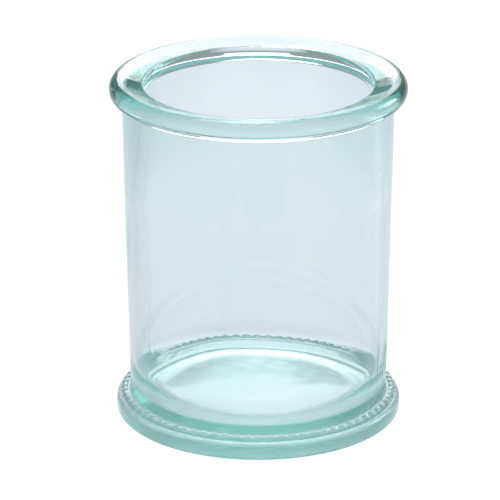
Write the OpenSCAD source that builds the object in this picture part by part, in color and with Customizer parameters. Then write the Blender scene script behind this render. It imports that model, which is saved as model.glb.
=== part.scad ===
// Empty candle jar: one piece of pressed glass with a thick rolled rim,
// a slightly tapered wall, and a spreading foot with a ring of beads.
// Origin: centre of the face that it stands on. +Z is up, millimetres.
// All widths follow from the rim's diameter, so a wider jar keeps its walls.

/* [Overall] */
// Height of the jar
jar_h = 100; // [80:1:130]
// Outer diameter over the rolled rim
rim_d = 84; // [70:1:110]

/* [Rim] */
// Thickness of the roll at the rim's outer edge
roll_d = 6.4; // [5:0.2:8]
// How far the roll stands out of the wall
rim_out = 3.6; // [2.4:0.1:5]
// How far the mouth stands in from the cavity's wall
mouth_in = 2.3; // [1:0.1:6]
// Height of the straight stretch inside the mouth
land_h = 5; // [1.5:0.1:8]
// Rounding of the rim's inner edge
lip_r = 1.6; // [0.8:0.1:2.4]
// Drop from the top of the roll to the top of the straight stretch
lip_drop = 3; // [2.5:0.1:5]
// Fillet between the wall and the underside of the roll
roll_fillet_r = 0.8; // [0.3:0.1:1.5]

/* [Neck] */
// Height over which the inner wall widens from the mouth to the cavity
neck_h = 26.8; // [16:0.2:36]
// Radius of the curve at the top of the neck
neck_upper_r = 4; // [1:0.5:6]
// Radius of the curve at the bottom of the neck
neck_lower_r = 8; // [1:0.5:10]

/* [Wall] */
// Thickness of the wall just above the foot
wall_t = 2.3; // [1.5:0.1:4]
// How far the outside of the wall draws in from the rim to the foot
wall_taper = 1.6; // [0:0.1:2.5]

/* [Floor] */
// Thickness of the floor at its middle, above the hollow underneath
floor_t = 5; // [3:0.1:9]
// Width of the curve between the cavity's floor and its wall
floor_curve_r = 9; // [2:0.5:14]
// Height of that curve
floor_curve_h = 11; // [2:0.5:16]
// Depth of the shallow hollow under the floor
hollow_h = 1.2; // [0.4:0.1:3]
// Width of the flat ring round that hollow, which the jar stands on
standing_w = 9.2; // [4:0.1:14]

/* [Foot] */
// How far the foot stands out of the wall
foot_out = 4; // [3.7:0.1:8]
// Height of the foot, up to the ledge that carries the bead ring
foot_h = 5.2; // [4:0.1:9]
// Rounding of the foot's upper edge
shoulder_r = 1.6; // [0.5:0.1:1.6]
// Rounding of the foot's lower edge
heel_r = 1.6; // [0.5:0.1:2]
// Fillet between the bead ring and the wall
foot_fillet_r = 0.6; // [0.5:0.1:0.9]

/* [Bead ring] */
// Distance from one bead to the next
bead_pitch = 3.16; // [3:0.02:6]
// Diameter of a bead
bead_d = 2.7; // [2.2:0.1:2.9]
// Thickness of the plain ring that joins the beads
bead_ring_d = 1.9; // [1.5:0.1:2]
// Distance of the beads' centres from the outside of the wall
bead_out = 1.4; // [1.3:0.05:1.6]
// Height of the beads' centres above the ledge
bead_up = 0.3; // [0:0.05:0.6]

/* [Hidden] */
$fn = 128;
arc_step = 9;       // largest turn between two points of a curve, degrees
glass = [0.72, 0.88, 0.84, 0.45];

// radii from the outside in
wall_top_r = rim_d / 2 - rim_out;
wall_foot_r = wall_top_r - wall_taper;
cavity_r = wall_foot_r - wall_t;
mouth_r = cavity_r - mouth_in;
foot_r = wall_foot_r + foot_out;
hollow_r = foot_r - heel_r - standing_w;
roll_r = roll_d / 2;
ring_r = bead_ring_d / 2;

// bead ring: where the ledge meets it, and room for the shoulder beside it
ring_c = [wall_foot_r + bead_out, foot_h + bead_up];
ring_from = -asin(bead_up / ring_r);
shoulder_room = foot_r - ring_c[0] - ring_r * cos(ring_from) - 0.05;
shoulder = min(shoulder_r, shoulder_room);
bead_count = round(2 * PI * ring_c[0] / bead_pitch);

// centres of the other curves, as [radius, height]
hollow_arc_r = (pow(hollow_r, 2) + pow(hollow_h, 2)) / (2 * hollow_h);
hollow_c = [0, hollow_h - hollow_arc_r];
heel_c = [foot_r - heel_r, heel_r];
shoulder_c = [foot_r - shoulder, foot_h - shoulder];
foot_fillet_dx = wall_foot_r + foot_fillet_r - ring_c[0];
foot_fillet_reach = ring_r + foot_fillet_r;
foot_fillet_c = ring_c
    + [foot_fillet_dx, sqrt(pow(foot_fillet_reach, 2) - pow(foot_fillet_dx, 2))];
ring_to = atan2(foot_fillet_c[1] - ring_c[1], foot_fillet_dx);
roll_c = [rim_d / 2 - roll_r, jar_h - roll_r];
roll_fillet_dx = wall_top_r + roll_fillet_r - roll_c[0];
roll_fillet_reach = roll_r + roll_fillet_r;
roll_fillet_c = roll_c
    + [roll_fillet_dx, -sqrt(pow(roll_fillet_reach, 2) - pow(roll_fillet_dx, 2))];
roll_under = atan2(roll_fillet_c[1] - roll_c[1], roll_fillet_dx);
lip_c = [mouth_r + lip_r, jar_h - lip_drop];
neck_upper_c = [mouth_r + neck_upper_r, lip_c[1] - land_h];
neck_lower_c = [cavity_r - neck_lower_r, neck_upper_c[1] - neck_h];
floor_top = hollow_h + floor_t;
floor_c = [cavity_r - floor_curve_r, floor_top + floor_curve_h];

// direction, from the centre of the roll, where the line that touches both
// the roll and the lip meets the roll
top_link = lip_c - roll_c;
top_angle = 180 + atan2(-top_link[1], -top_link[0]) - acos((roll_r - lip_r) / norm(top_link));
// slope, from upright, of the line that touches both curves of the neck
neck_link = neck_lower_c - neck_upper_c;
neck_slope = atan2(neck_link[0], -neck_link[1])
    + asin((neck_upper_r + neck_lower_r) / norm(neck_link));

// points along a curve about a centre, both ends included; tall stretches
// the curve upward
function arc(c, r, from, to, tall = 1) =
    let (n = max(2, ceil(abs(to - from) / arc_step)))
    [for (i = [0:n]) let (a = from + (to - from) * i / n) c + r * [cos(a), tall * sin(a)]];

// half of the jar's section, from the middle of the underside round the
// outside and back to the middle of the floor
section = concat(
    arc(hollow_c, hollow_arc_r, 90, acos(hollow_r / hollow_arc_r)),
    arc(heel_c, heel_r, -90, 0),
    arc(shoulder_c, shoulder, 0, 90),
    arc(ring_c, ring_r, ring_from, ring_to),
    arc(foot_fillet_c, foot_fillet_r, ring_to + 180, 180),
    arc(roll_fillet_c, roll_fillet_r, 180, roll_under + 180),
    arc(roll_c, roll_r, roll_under, top_angle),
    arc(lip_c, lip_r, top_angle, 180),
    arc(neck_upper_c, neck_upper_r, 180, 180 + neck_slope),
    arc(neck_lower_c, neck_lower_r, neck_slope, 0),
    arc(floor_c, floor_curve_r, 0, -90, floor_curve_h / floor_curve_r),
    [[0, floor_top]]
);

module bead_ring() {
    for (i = [0:bead_count - 1])
        rotate([0, 0, (i + 0.5) * 360 / bead_count])
            translate([ring_c[0], 0, ring_c[1]])
                sphere(d = bead_d);
}

module glass_jar() {
    color(glass)
        union() {
            rotate_extrude() polygon(section);
            bead_ring();
        }
}

glass_jar();
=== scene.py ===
import bpy
import bmesh
import math
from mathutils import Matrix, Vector


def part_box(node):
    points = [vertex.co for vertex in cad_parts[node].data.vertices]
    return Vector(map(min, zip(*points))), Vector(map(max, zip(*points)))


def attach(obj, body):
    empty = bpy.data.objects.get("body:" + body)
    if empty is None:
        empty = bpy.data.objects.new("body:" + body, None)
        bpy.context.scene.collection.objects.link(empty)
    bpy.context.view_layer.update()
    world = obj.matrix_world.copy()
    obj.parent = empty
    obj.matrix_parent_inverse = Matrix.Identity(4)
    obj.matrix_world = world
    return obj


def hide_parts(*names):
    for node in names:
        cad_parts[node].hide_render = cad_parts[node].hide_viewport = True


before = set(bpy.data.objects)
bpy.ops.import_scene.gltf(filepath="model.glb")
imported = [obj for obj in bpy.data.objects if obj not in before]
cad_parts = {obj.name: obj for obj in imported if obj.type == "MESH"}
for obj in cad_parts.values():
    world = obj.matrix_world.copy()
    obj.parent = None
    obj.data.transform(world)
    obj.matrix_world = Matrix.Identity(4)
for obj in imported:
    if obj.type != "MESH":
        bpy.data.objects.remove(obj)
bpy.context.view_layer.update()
jarLow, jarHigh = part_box("glass_jar")
scene = bpy.context.scene
mm = 0.001
print("frame loaded: the jar is", round(jarHigh.z / mm, 1), "mm high")

cameraSettings = {
    "distance": 0.98824,        # level distance in front of the jar's axis
    "height": 0.41493,
    "sideways": -0.00237,
    "tilt": 20.371,             # degrees below level
    "lens": 266.1,
    "sensor": 36,
    "clipEnd": 50,
}


def addCamera(settings):
    data = bpy.data.cameras.new("camera")
    data.sensor_width = settings["sensor"]
    data.lens = settings["lens"]
    data.clip_end = settings["clipEnd"]
    camera = bpy.data.objects.new("camera", data)
    scene.collection.objects.link(camera)
    camera.location = (settings["sideways"], -settings["distance"], settings["height"])
    camera.rotation_euler = (math.radians(90 - settings["tilt"]), 0, 0)
    scene.camera = camera


addCamera(cameraSettings)
print("camera placed")

jar = {
    "rimRadius": (jarHigh.x - jarLow.x) / 2,
    "height": jarHigh.z,
    "rollRadius": 3.2 * mm,             # half the thickness of the rolled rim
    "rollFillet": 0.8 * mm,
    "mouthRadius": 32.2 * mm,
    "landHeight": 5.0 * mm,             # upright stretch inside the mouth
    "lipRadius": 1.6 * mm,
    "lipDrop": 3.0 * mm,
    "neckUpperCurve": 4.0 * mm,
    "neckLowerCurve": 8.0 * mm,
    "neckHeight": 26.8 * mm,            # the inner wall widens over this height
    "wallTopRadius": 38.4 * mm,
    "wallFootRadius": 36.8 * mm,
    "cavityRadius": 34.5 * mm,
    "floorThickness": 5.0 * mm,
    "floorCurveRadius": 9.0 * mm,
    "floorCurveHeight": 11.0 * mm,
    "hollowRadius": 30.0 * mm,          # shallow hollow under the floor
    "hollowHeight": 1.2 * mm,
    "footRadius": 40.8 * mm,
    "footHeight": 5.2 * mm,             # up to the ledge that carries the bead ring
    "shoulderRadius": 1.6 * mm,
    "heelRadius": 1.6 * mm,
    "footFillet": 0.6 * mm,
    "ringRadius": 38.2 * mm,            # bead ring: where it lies, its height, and half its thickness
    "ringHeight": 5.5 * mm,
    "ringTube": 0.95 * mm,
    "wallRings": 13,
    "turnSteps": 608,                   # eight steps to a bead
}


def lineTo(pen, tip, radius, height, steps=1):
    # draws straight to a new radius and height, and gives back the new tip
    start = tip.co.copy()
    end = Vector((radius, 0, height))
    for step in range(1, steps + 1):
        tip = bmesh.ops.extrude_vert_indiv(pen, verts=[tip])["verts"][0]
        tip.co = start.lerp(end, step / steps)
    return tip


def curveTo(pen, tip, centre, degrees, degreesPerStep=8):
    # swings the tip about a centre, positive is anticlockwise in the section
    steps = max(2, math.ceil(abs(degrees) / degreesPerStep))
    swung = bmesh.ops.spin(
        pen, geom=[tip], cent=(centre[0], 0, centre[1]), axis=(0, -1, 0),
        angle=math.radians(degrees), steps=steps, use_duplicate=False)
    return [part for part in swung["geom_last"] if isinstance(part, bmesh.types.BMVert)][0]


def drawFoot(pen, tip, j):
    # hollow underneath, standing face, heel, ledge, bead ring, and a fillet to the wall
    hollowSphere = (j["hollowRadius"] ** 2 + j["hollowHeight"] ** 2) / (2 * j["hollowHeight"])
    hollowSwing = math.degrees(math.asin(j["hollowRadius"] / hollowSphere))
    tip = curveTo(pen, tip, (0, j["hollowHeight"] - hollowSphere), -hollowSwing, 1)
    heelCentre = (j["footRadius"] - j["heelRadius"], j["heelRadius"])
    tip = lineTo(pen, tip, heelCentre[0], 0, steps=3)
    tip = curveTo(pen, tip, heelCentre, 90, 10)
    shoulder = (j["footRadius"] - j["shoulderRadius"], j["footHeight"] - j["shoulderRadius"])
    tip = lineTo(pen, tip, j["footRadius"], shoulder[1], steps=2)
    rise = j["footHeight"] - j["ringHeight"]
    ringStart = math.atan2(rise, math.sqrt(j["ringTube"] ** 2 - rise ** 2))
    ledgeEnd = j["ringRadius"] + j["ringTube"] * math.cos(ringStart)
    tip = curveTo(pen, tip, shoulder, 90, 10)
    tip = lineTo(pen, tip, ledgeEnd, j["footHeight"])
    reach = j["ringTube"] + j["footFillet"]
    inward = j["wallFootRadius"] + j["footFillet"] - j["ringRadius"]
    fillet = (j["ringRadius"] + inward, j["ringHeight"] + math.sqrt(reach ** 2 - inward ** 2))
    ringEnd = math.atan2(fillet[1] - j["ringHeight"], inward)
    ring = (j["ringRadius"], j["ringHeight"])
    tip = curveTo(pen, tip, ring, math.degrees(ringEnd - ringStart), 8)
    return curveTo(pen, tip, fillet, -math.degrees(ringEnd), 12)


def drawWallAndRoll(pen, tip, j):
    # outer wall, fillet under the roll, the roll, and over the top to the mouth
    roll = (j["rimRadius"] - j["rollRadius"], j["height"] - j["rollRadius"])
    across = j["wallTopRadius"] + j["rollFillet"] - roll[0]
    reach = j["rollRadius"] + j["rollFillet"]
    fillet = (roll[0] + across, roll[1] - math.sqrt(reach ** 2 - across ** 2))
    tip = lineTo(pen, tip, j["wallTopRadius"], fillet[1], steps=j["wallRings"])
    meeting = math.degrees(math.atan2(roll[1] - fillet[1], roll[0] - fillet[0]))
    tip = curveTo(pen, tip, fillet, meeting - 180, 12)
    lip = (j["mouthRadius"] + j["lipRadius"], j["height"] - j["lipDrop"])
    span = math.hypot(lip[0] - roll[0], lip[1] - roll[1])
    top = math.pi + math.atan2(roll[1] - lip[1], roll[0] - lip[0])
    top = top - math.acos((j["rollRadius"] - j["lipRadius"]) / span)
    tip = curveTo(pen, tip, roll, math.degrees(top) + 180 - meeting, 7)
    lipTop = (lip[0] + j["lipRadius"] * math.cos(top), lip[1] + j["lipRadius"] * math.sin(top))
    tip = lineTo(pen, tip, lipTop[0], lipTop[1], steps=3)
    tip = curveTo(pen, tip, lip, 180 - math.degrees(top), 9)
    return lineTo(pen, tip, j["mouthRadius"], lip[1] - j["landHeight"], steps=2)


def drawNeck(pen, tip, j):
    # two curves with the line that touches both, out to the cavity's wall
    upper, lower = j["neckUpperCurve"], j["neckLowerCurve"]
    upperCentre = (j["mouthRadius"] + upper, tip.co.z)
    lowerCentre = (j["cavityRadius"] - lower, tip.co.z - j["neckHeight"])
    across = lowerCentre[0] - upperCentre[0]
    slope = math.atan2(across, j["neckHeight"])
    slope += math.asin((upper + lower) / math.hypot(across, j["neckHeight"]))
    tip = curveTo(pen, tip, upperCentre, math.degrees(slope), 3)
    slopeEnd = (lowerCentre[0] + lower * math.cos(slope), lowerCentre[1] + lower * math.sin(slope))
    tip = lineTo(pen, tip, slopeEnd[0], slopeEnd[1], steps=6)
    return curveTo(pen, tip, lowerCentre, -math.degrees(slope), 3)


def drawCavity(pen, tip, j):
    # inner wall, then a quarter of an ellipse down to the floor and in to the middle
    floorTop = j["hollowHeight"] + j["floorThickness"]
    tip = lineTo(pen, tip, j["cavityRadius"], floorTop + j["floorCurveHeight"], steps=j["wallRings"])
    flatRadius = j["cavityRadius"] - j["floorCurveRadius"]
    quarterSteps = 14
    for step in range(1, quarterSteps + 1):
        turn = math.pi / 2 * step / quarterSteps
        radius = flatRadius + j["floorCurveRadius"] * math.cos(turn)
        height = floorTop + j["floorCurveHeight"] * (1 - math.sin(turn))
        tip = lineTo(pen, tip, radius, height)
    return lineTo(pen, tip, 0, floorTop, steps=6)


def turnJar(j):
    mesh = bmesh.new()
    tip = mesh.verts.new((0, 0, j["hollowHeight"]))
    for draw in (drawFoot, drawWallAndRoll, drawNeck, drawCavity):
        tip = draw(mesh, tip, j)
    bmesh.ops.spin(
        mesh, geom=mesh.verts[:] + mesh.edges[:], cent=(0, 0, 0), axis=(0, 0, 1),
        angle=math.tau, steps=j["turnSteps"], use_merge=True, use_duplicate=False)
    bmesh.ops.remove_doubles(mesh, verts=mesh.verts, dist=1e-6)
    bmesh.ops.recalc_face_normals(mesh, faces=mesh.faces)
    return mesh


beads = {
    "count": 76,
    "rise": 0.42 * mm,
    "from": -15,            # degrees round the ring: 0 is outward and 90 is up
    "to": 125,
    "fade": 14,
    "slack": 0.02 * mm,     # how far off the ring a point may lie and still count
}


def softStep(value):
    value = max(0.0, min(1.0, value))
    return value * value * (3 - 2 * value)


def raiseBeads(mesh, j, b):
    # swells the plain ring on the foot's ledge into a row of beads
    for vert in mesh.verts:
        radius = math.hypot(vert.co.x, vert.co.y)
        out, up = radius - j["ringRadius"], vert.co.z - j["ringHeight"]
        if math.hypot(out, up) > j["ringTube"] + b["slack"]:
            continue
        angle = math.degrees(math.atan2(up, out))
        along = softStep((angle - b["from"]) / b["fade"]) * softStep((b["to"] - angle) / b["fade"])
        around = 0.5 + 0.5 * math.cos(b["count"] * math.atan2(vert.co.y, vert.co.x))
        lift = b["rise"] * along * around
        outward = (radius + lift * math.cos(math.radians(angle))) / radius
        vert.co.x *= outward
        vert.co.y *= outward
        vert.co.z += lift * math.sin(math.radians(angle))


mould = {
    "seamAt": -23,              # degrees round from +X; the other seam is opposite
    "seamHeight": 0.10 * mm,
    "seamWidth": 0.45 * mm,
    "ringAt": 88.6 * mm,        # where the neck ring met the body of the mould
    "ringHeight": 0.07 * mm,
    "ringWidth": 0.5 * mm,
    "ringClear": 3 * mm,        # the wall stays plain this far above the foot
    "footFade": 4 * mm,
    "rimFade": 3 * mm,
    "waveDepth": 0.05 * mm,
    "innerShare": -0.8,         # the inside waves the other way, and less
    "floorWave": 0.05 * mm,
    "floorWaveTop": 8 * mm,
    "floorWaveEdge": 6 * mm,    # the waves end this far in from the cavity's wall
    "floorWaveFade": 10 * mm,
}


def slowWave(around, height):
    # sines whose lengths don't divide, so that the wall never repeats evenly
    broad = math.sin(3 * around + 40 * height) * math.sin(70 * height + 1.3)
    return broad + 0.7 * math.sin(7 * around - 55 * height + 2)


def waveFloor(mesh, j, m):
    for vert in mesh.verts:
        radius = math.hypot(vert.co.x, vert.co.y)
        if radius < j["cavityRadius"] and j["floorThickness"] < vert.co.z < m["floorWaveTop"]:
            swirl = math.sin(210 * vert.co.x + 1.9) * math.sin(160 * vert.co.y - 0.6)
            edge = j["cavityRadius"] - m["floorWaveEdge"]
            vert.co.z += m["floorWave"] * swirl * softStep((edge - radius) / m["floorWaveFade"])


def markWall(mesh, j, m):
    # two upright seams, one seam round the neck, and the slow waves of pressed glass
    top = j["height"] - 2 * j["rollRadius"]
    bottom = j["footHeight"] + m["ringClear"]
    wallMiddle = (j["cavityRadius"] + j["wallFootRadius"]) / 2
    for vert in mesh.verts:
        height = vert.co.z
        if not (bottom < height < top):
            continue
        radius = math.hypot(vert.co.x, vert.co.y)
        around = math.atan2(vert.co.y, vert.co.x)
        outside = radius > wallMiddle
        fade = softStep((height - bottom) / m["footFade"]) * softStep((top - height) / m["rimFade"])
        move = m["waveDepth"] * slowWave(around, height) * fade * (1 if outside else m["innerShare"])
        if outside:
            for side in (0, math.pi):
                away = math.remainder(around - math.radians(m["seamAt"]) - side, math.tau) * radius
                move += m["seamHeight"] * fade * math.exp(-(away / m["seamWidth"]) ** 2)
            move += m["ringHeight"] * math.exp(-((height - m["ringAt"]) / m["ringWidth"]) ** 2)
        vert.co.x *= (radius + move) / radius
        vert.co.y *= (radius + move) / radius


def finishJar(mesh):
    data = bpy.data.meshes.new("glassJar")
    mesh.to_mesh(data)
    mesh.free()
    data.polygons.foreach_set("use_smooth", [True] * len(data.polygons))
    piece = bpy.data.objects.new("glassJar", data)
    scene.collection.objects.link(piece)
    return piece


jarMesh = turnJar(jar)
raiseBeads(jarMesh, jar, beads)
waveFloor(jarMesh, jar, mould)
markWall(jarMesh, jar, mould)
glassJar = finishJar(jarMesh)
print("jar modelled:", len(glassJar.data.polygons), "faces")

glass = {
    "absorb": (0.09, 0.727, 0.655),     # what a long way through the glass leaves
    "density": 25,
    "ior": 1.52,
    "polish": 0.0,
    "ground": 0.45,                     # roughness of the stippled underside
    "groundRadius": 39.3 * mm,          # the stipple reaches out to here, on the heel
    "groundTop": 0.1 * mm,              # and this far above the hollow
    "groundFade": 0.4 * mm,             # it is gone this far above the hollow, or past its radius
    "pitSize": 1900,
    "pitDepth": 0.14 * mm,
    "pitPatches": 60,
    "pitBare": 0.42,                    # patch noise up to here has no pits
    "pitFull": 0.62,                    # and from here on has them all
    "crestFull": 0.6 * mm,              # pits are full down to here below the top of the rim
    "crestEnd": 2.6 * mm,
    "footFull": 0.6 * mm,               # and full up to here above the bead ring
    "footEnd": 1.6 * mm,
    "wallNear": 0.5 * mm,               # depths in the wall, from the cavity outward, where
    "wallMiddle": 1.0 * mm,             # the marks of one side end and of the other begin
    "wallFar": 2.0 * mm,
    "rippleSize": 110,
    "rippleDepth": 0.26 * mm,           # chill ripples round the cavity's floor
    "rippleTop": 19 * mm,
    "rippleFade": 8 * mm,
    "rippleStart": 0.5 * mm,
    "chilled": 0.14,                    # roughness there
    "cordStretch": (60, 60, 9),         # cords of greener glass run mostly upright
    "cordTint": (0.965, 0.99, 0.985),
    "cordFrom": 0.35,
    "cordTo": 0.6,
}


def node(tree, kind, **values):
    made = tree.nodes.new(kind)
    for name, value in values.items():
        setattr(made, name, value)
    return made


def mapRange(tree, value, fromMin, fromMax, toMin=0.0, toMax=1.0):
    made = node(tree, "ShaderNodeMapRange", interpolation_type="SMOOTHSTEP")
    made.inputs["From Min"].default_value = fromMin
    made.inputs["From Max"].default_value = fromMax
    made.inputs["To Min"].default_value = toMin
    made.inputs["To Max"].default_value = toMax
    tree.links.new(value, made.inputs["Value"])
    return made.outputs["Result"]


def mathNode(tree, operation, first, second=None):
    made = node(tree, "ShaderNodeMath", operation=operation)
    for socket, value in zip(made.inputs, (first, second)):
        if isinstance(value, (int, float)):
            socket.default_value = value
        elif value is not None:
            tree.links.new(value, socket)
    return made.outputs[0]


def pressedGlass(g, j):
    material = bpy.data.materials.new("pressedGlass")
    material.use_nodes = True
    tree = material.node_tree
    shader = tree.nodes["Principled BSDF"]
    shader.inputs["Transmission Weight"].default_value = 1
    shader.inputs["IOR"].default_value = g["ior"]
    place = node(tree, "ShaderNodeTexCoord").outputs["Object"]
    split = node(tree, "ShaderNodeSeparateXYZ")
    tree.links.new(place, split.inputs[0])
    height = split.outputs["Z"]
    xSquared = mathNode(tree, "MULTIPLY", split.outputs["X"], split.outputs["X"])
    ySquared = mathNode(tree, "MULTIPLY", split.outputs["Y"], split.outputs["Y"])
    radius = mathNode(tree, "SQRT", mathNode(tree, "ADD", xSquared, ySquared))

    # the underside is ground and stippled
    groundFrom, groundTo = j["hollowHeight"] + g["groundTop"], j["hollowHeight"] + g["groundFade"]
    low = mapRange(tree, height, groundFrom, groundTo, 1, 0)
    inside = mapRange(tree, radius, g["groundRadius"], g["groundRadius"] + g["groundFade"], 1, 0)
    underside = mathNode(tree, "MULTIPLY", low, inside)

    # fine pits where the hot glass met the mould last: the crest of the rim, and the foot
    crest = mapRange(tree, height, j["height"] - g["crestEnd"], j["height"] - g["crestFull"])
    ringTop = j["ringHeight"] + j["ringTube"]
    foot = mapRange(tree, height, ringTop + g["footFull"], ringTop + g["footEnd"], 1, 0)
    wallNear, wallMiddle = j["cavityRadius"] + g["wallNear"], j["cavityRadius"] + g["wallMiddle"]
    outside = mapRange(tree, radius, wallMiddle, j["cavityRadius"] + g["wallFar"])
    foot = mathNode(tree, "MULTIPLY", foot, outside)
    pitted = mathNode(tree, "MAXIMUM", crest, foot)
    pits = node(tree, "ShaderNodeTexNoise")
    pits.inputs["Scale"].default_value = g["pitSize"]
    pits.inputs["Detail"].default_value = 2
    tree.links.new(place, pits.inputs["Vector"])
    patches = node(tree, "ShaderNodeTexNoise")
    patches.inputs["Scale"].default_value = g["pitPatches"]
    tree.links.new(place, patches.inputs["Vector"])
    patchy = mapRange(tree, patches.outputs["Fac"], g["pitBare"], g["pitFull"])
    amount = mathNode(tree, "MULTIPLY", pitted, patchy)
    pitBump = node(tree, "ShaderNodeBump")
    pitBump.inputs["Distance"].default_value = g["pitDepth"]
    tree.links.new(mathNode(tree, "MULTIPLY", pits.outputs["Fac"], amount), pitBump.inputs["Height"])

    # slow ripples and a slight haze where the glass chilled against the plunger's end
    ripples = node(tree, "ShaderNodeTexNoise")
    ripples.inputs["Scale"].default_value = g["rippleSize"]
    ripples.inputs["Detail"].default_value = 1
    tree.links.new(place, ripples.inputs["Vector"])
    aboveFloor = mapRange(
        tree, height, j["floorThickness"], j["floorThickness"] + g["rippleStart"])
    belowTop = mapRange(tree, height, g["rippleTop"] - g["rippleFade"], g["rippleTop"], 1, 0)
    inCavity = mapRange(tree, radius, wallNear, wallMiddle, 1, 0)
    chilled = mathNode(tree, "MULTIPLY", mathNode(tree, "MULTIPLY", aboveFloor, belowTop), inCavity)
    rippleBump = node(tree, "ShaderNodeBump")
    rippleBump.inputs["Distance"].default_value = g["rippleDepth"]
    rippled = mathNode(tree, "MULTIPLY", ripples.outputs["Fac"], chilled)
    tree.links.new(rippled, rippleBump.inputs["Height"])
    tree.links.new(pitBump.outputs["Normal"], rippleBump.inputs["Normal"])
    tree.links.new(rippleBump.outputs["Normal"], shader.inputs["Normal"])

    # everything else is fire polished
    ground = mapRange(tree, underside, 0, 1, g["polish"], g["ground"])
    roughness = mathNode(tree, "MAXIMUM", ground, mathNode(tree, "MULTIPLY", chilled, g["chilled"]))
    tree.links.new(roughness, shader.inputs["Roughness"])

    # faint cords of paler and greener glass
    streaks = node(tree, "ShaderNodeTexNoise")
    stretch = node(tree, "ShaderNodeMapping")
    stretch.inputs["Scale"].default_value = g["cordStretch"]
    tree.links.new(place, stretch.inputs["Vector"])
    tree.links.new(stretch.outputs["Vector"], streaks.inputs["Vector"])
    streaks.inputs["Scale"].default_value = 1
    tint = node(tree, "ShaderNodeMix", data_type="RGBA")
    tint.inputs[6].default_value = (*g["cordTint"], 1)
    tint.inputs[7].default_value = (1, 1, 1, 1)
    clear = mapRange(tree, streaks.outputs["Fac"], g["cordFrom"], g["cordTo"])
    tree.links.new(clear, tint.inputs[0])
    tree.links.new(tint.outputs[2], shader.inputs["Base Color"])

    absorption = node(tree, "ShaderNodeVolumeAbsorption")
    absorption.inputs["Color"].default_value = (*g["absorb"], 1)
    absorption.inputs["Density"].default_value = g["density"]
    tree.links.new(absorption.outputs["Volume"], tree.nodes["Material Output"].inputs["Volume"])
    return material


glassJar.data.materials.append(pressedGlass(glass, jar))
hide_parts("glass_jar")
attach(glassJar, "root")
print("glass applied")

studio = {
    "roomColour": (0.97, 0.99, 1.02),
    "room": 0.35,
    "floorGap": 0.3 * mm,               # the standing face stays clear of the floor
    "floorSize": 6,
    "floorColour": (0.3, 0.3, 0.3),
    "floorRoughness": 0.5,
    "floorGlow": (0.93, 0.97, 1.07),
    "floorStrength": 0.44,
    "paintedLightPool": 1.65,                  # painted pool of light: the floor right under the jar glows this much brighter
    "paintedPoolRadius": 44 * mm,
    "paintedPoolFade": 8 * mm,
    "floorSeen": 1.1,                   # the floor looks plain white, except through glass
    "bounces": 96,
}


def addFloor(s):
    mesh = bmesh.new()
    bmesh.ops.create_grid(mesh, x_segments=1, y_segments=1, size=s["floorSize"] / 2)
    data = bpy.data.meshes.new("floor")
    mesh.to_mesh(data)
    mesh.free()
    floor = bpy.data.objects.new("floor", data)
    floor.location.z = jarLow.z - s["floorGap"]
    scene.collection.objects.link(floor)
    material = bpy.data.materials.new("paleFloor")
    material.use_nodes = True
    tree = material.node_tree
    shader = tree.nodes["Principled BSDF"]
    shader.inputs["Base Color"].default_value = (*s["floorColour"], 1)
    shader.inputs["Roughness"].default_value = s["floorRoughness"]
    shader.inputs["Emission Color"].default_value = (*s["floorGlow"], 1)
    place = node(tree, "ShaderNodeTexCoord").outputs["Object"]
    away = node(tree, "ShaderNodeVectorMath", operation="LENGTH")
    tree.links.new(place, away.inputs[0])
    # painted pool of light: the floor's glow is raised inside a disc under the jar
    strength = mapRange(
        tree, away.outputs["Value"], s["paintedPoolRadius"], s["paintedPoolRadius"] + s["paintedPoolFade"],
        s["floorStrength"] * s["paintedLightPool"], s["floorStrength"])
    tree.links.new(strength, shader.inputs["Emission Strength"])
    seen = node(tree, "ShaderNodeEmission")
    seen.inputs["Strength"].default_value = s["floorSeen"]
    choose = node(tree, "ShaderNodeMixShader")
    lightPath = node(tree, "ShaderNodeLightPath")
    tree.links.new(lightPath.outputs["Is Camera Ray"], choose.inputs[0])
    tree.links.new(shader.outputs[0], choose.inputs[1])
    tree.links.new(seen.outputs[0], choose.inputs[2])
    tree.links.new(choose.outputs[0], tree.nodes["Material Output"].inputs["Surface"])
    floor.data.materials.append(material)


def addPanel(name, at, width, height, power):
    # a soft light that faces the middle of the jar and doesn't show by itself
    data = bpy.data.lights.new(name, "AREA")
    data.shape = "RECTANGLE"
    data.size = width
    data.size_y = height
    data.energy = power
    panel = bpy.data.objects.new(name, data)
    scene.collection.objects.link(panel)
    panel.location = at
    aim = Vector((0, 0, jarHigh.z / 2)) - Vector(at)
    panel.rotation_euler = aim.to_track_quat("-Z", "Y").to_euler()
    panel.visible_camera = False


def setRoom(s):
    world = bpy.data.worlds.new("room")
    scene.world = world
    world.use_nodes = True
    background = world.node_tree.nodes["Background"]
    background.inputs["Color"].default_value = (*s["roomColour"], 1)
    background.inputs["Strength"].default_value = s["room"]
    scene.view_settings.view_transform = "Standard"
    scene.cycles.max_bounces = s["bounces"]
    scene.cycles.transmission_bounces = s["bounces"]
    scene.cycles.glossy_bounces = s["bounces"]
    scene.cycles.transparent_max_bounces = s["bounces"]


panels = {
    "backPanel": {"at": (0.05, 1.12, 0.96), "width": 0.9, "height": 1.15, "power": 9.5},
    "topPanel": {"at": (-0.12, 0.25, 1.3), "width": 0.5, "height": 0.4, "power": 5},
    "lowPanel": {"at": (0, 1.6, 0.32), "width": 0.16, "height": 0.42, "power": 0.2},
    "sidePanel": {"at": (1.0, 0.6, 0.45), "width": 0.4, "height": 0.4, "power": 3},
}

addFloor(studio)
for panelName, panelSettings in panels.items():
    addPanel(panelName, **panelSettings)
setRoom(studio)
print("studio lit")
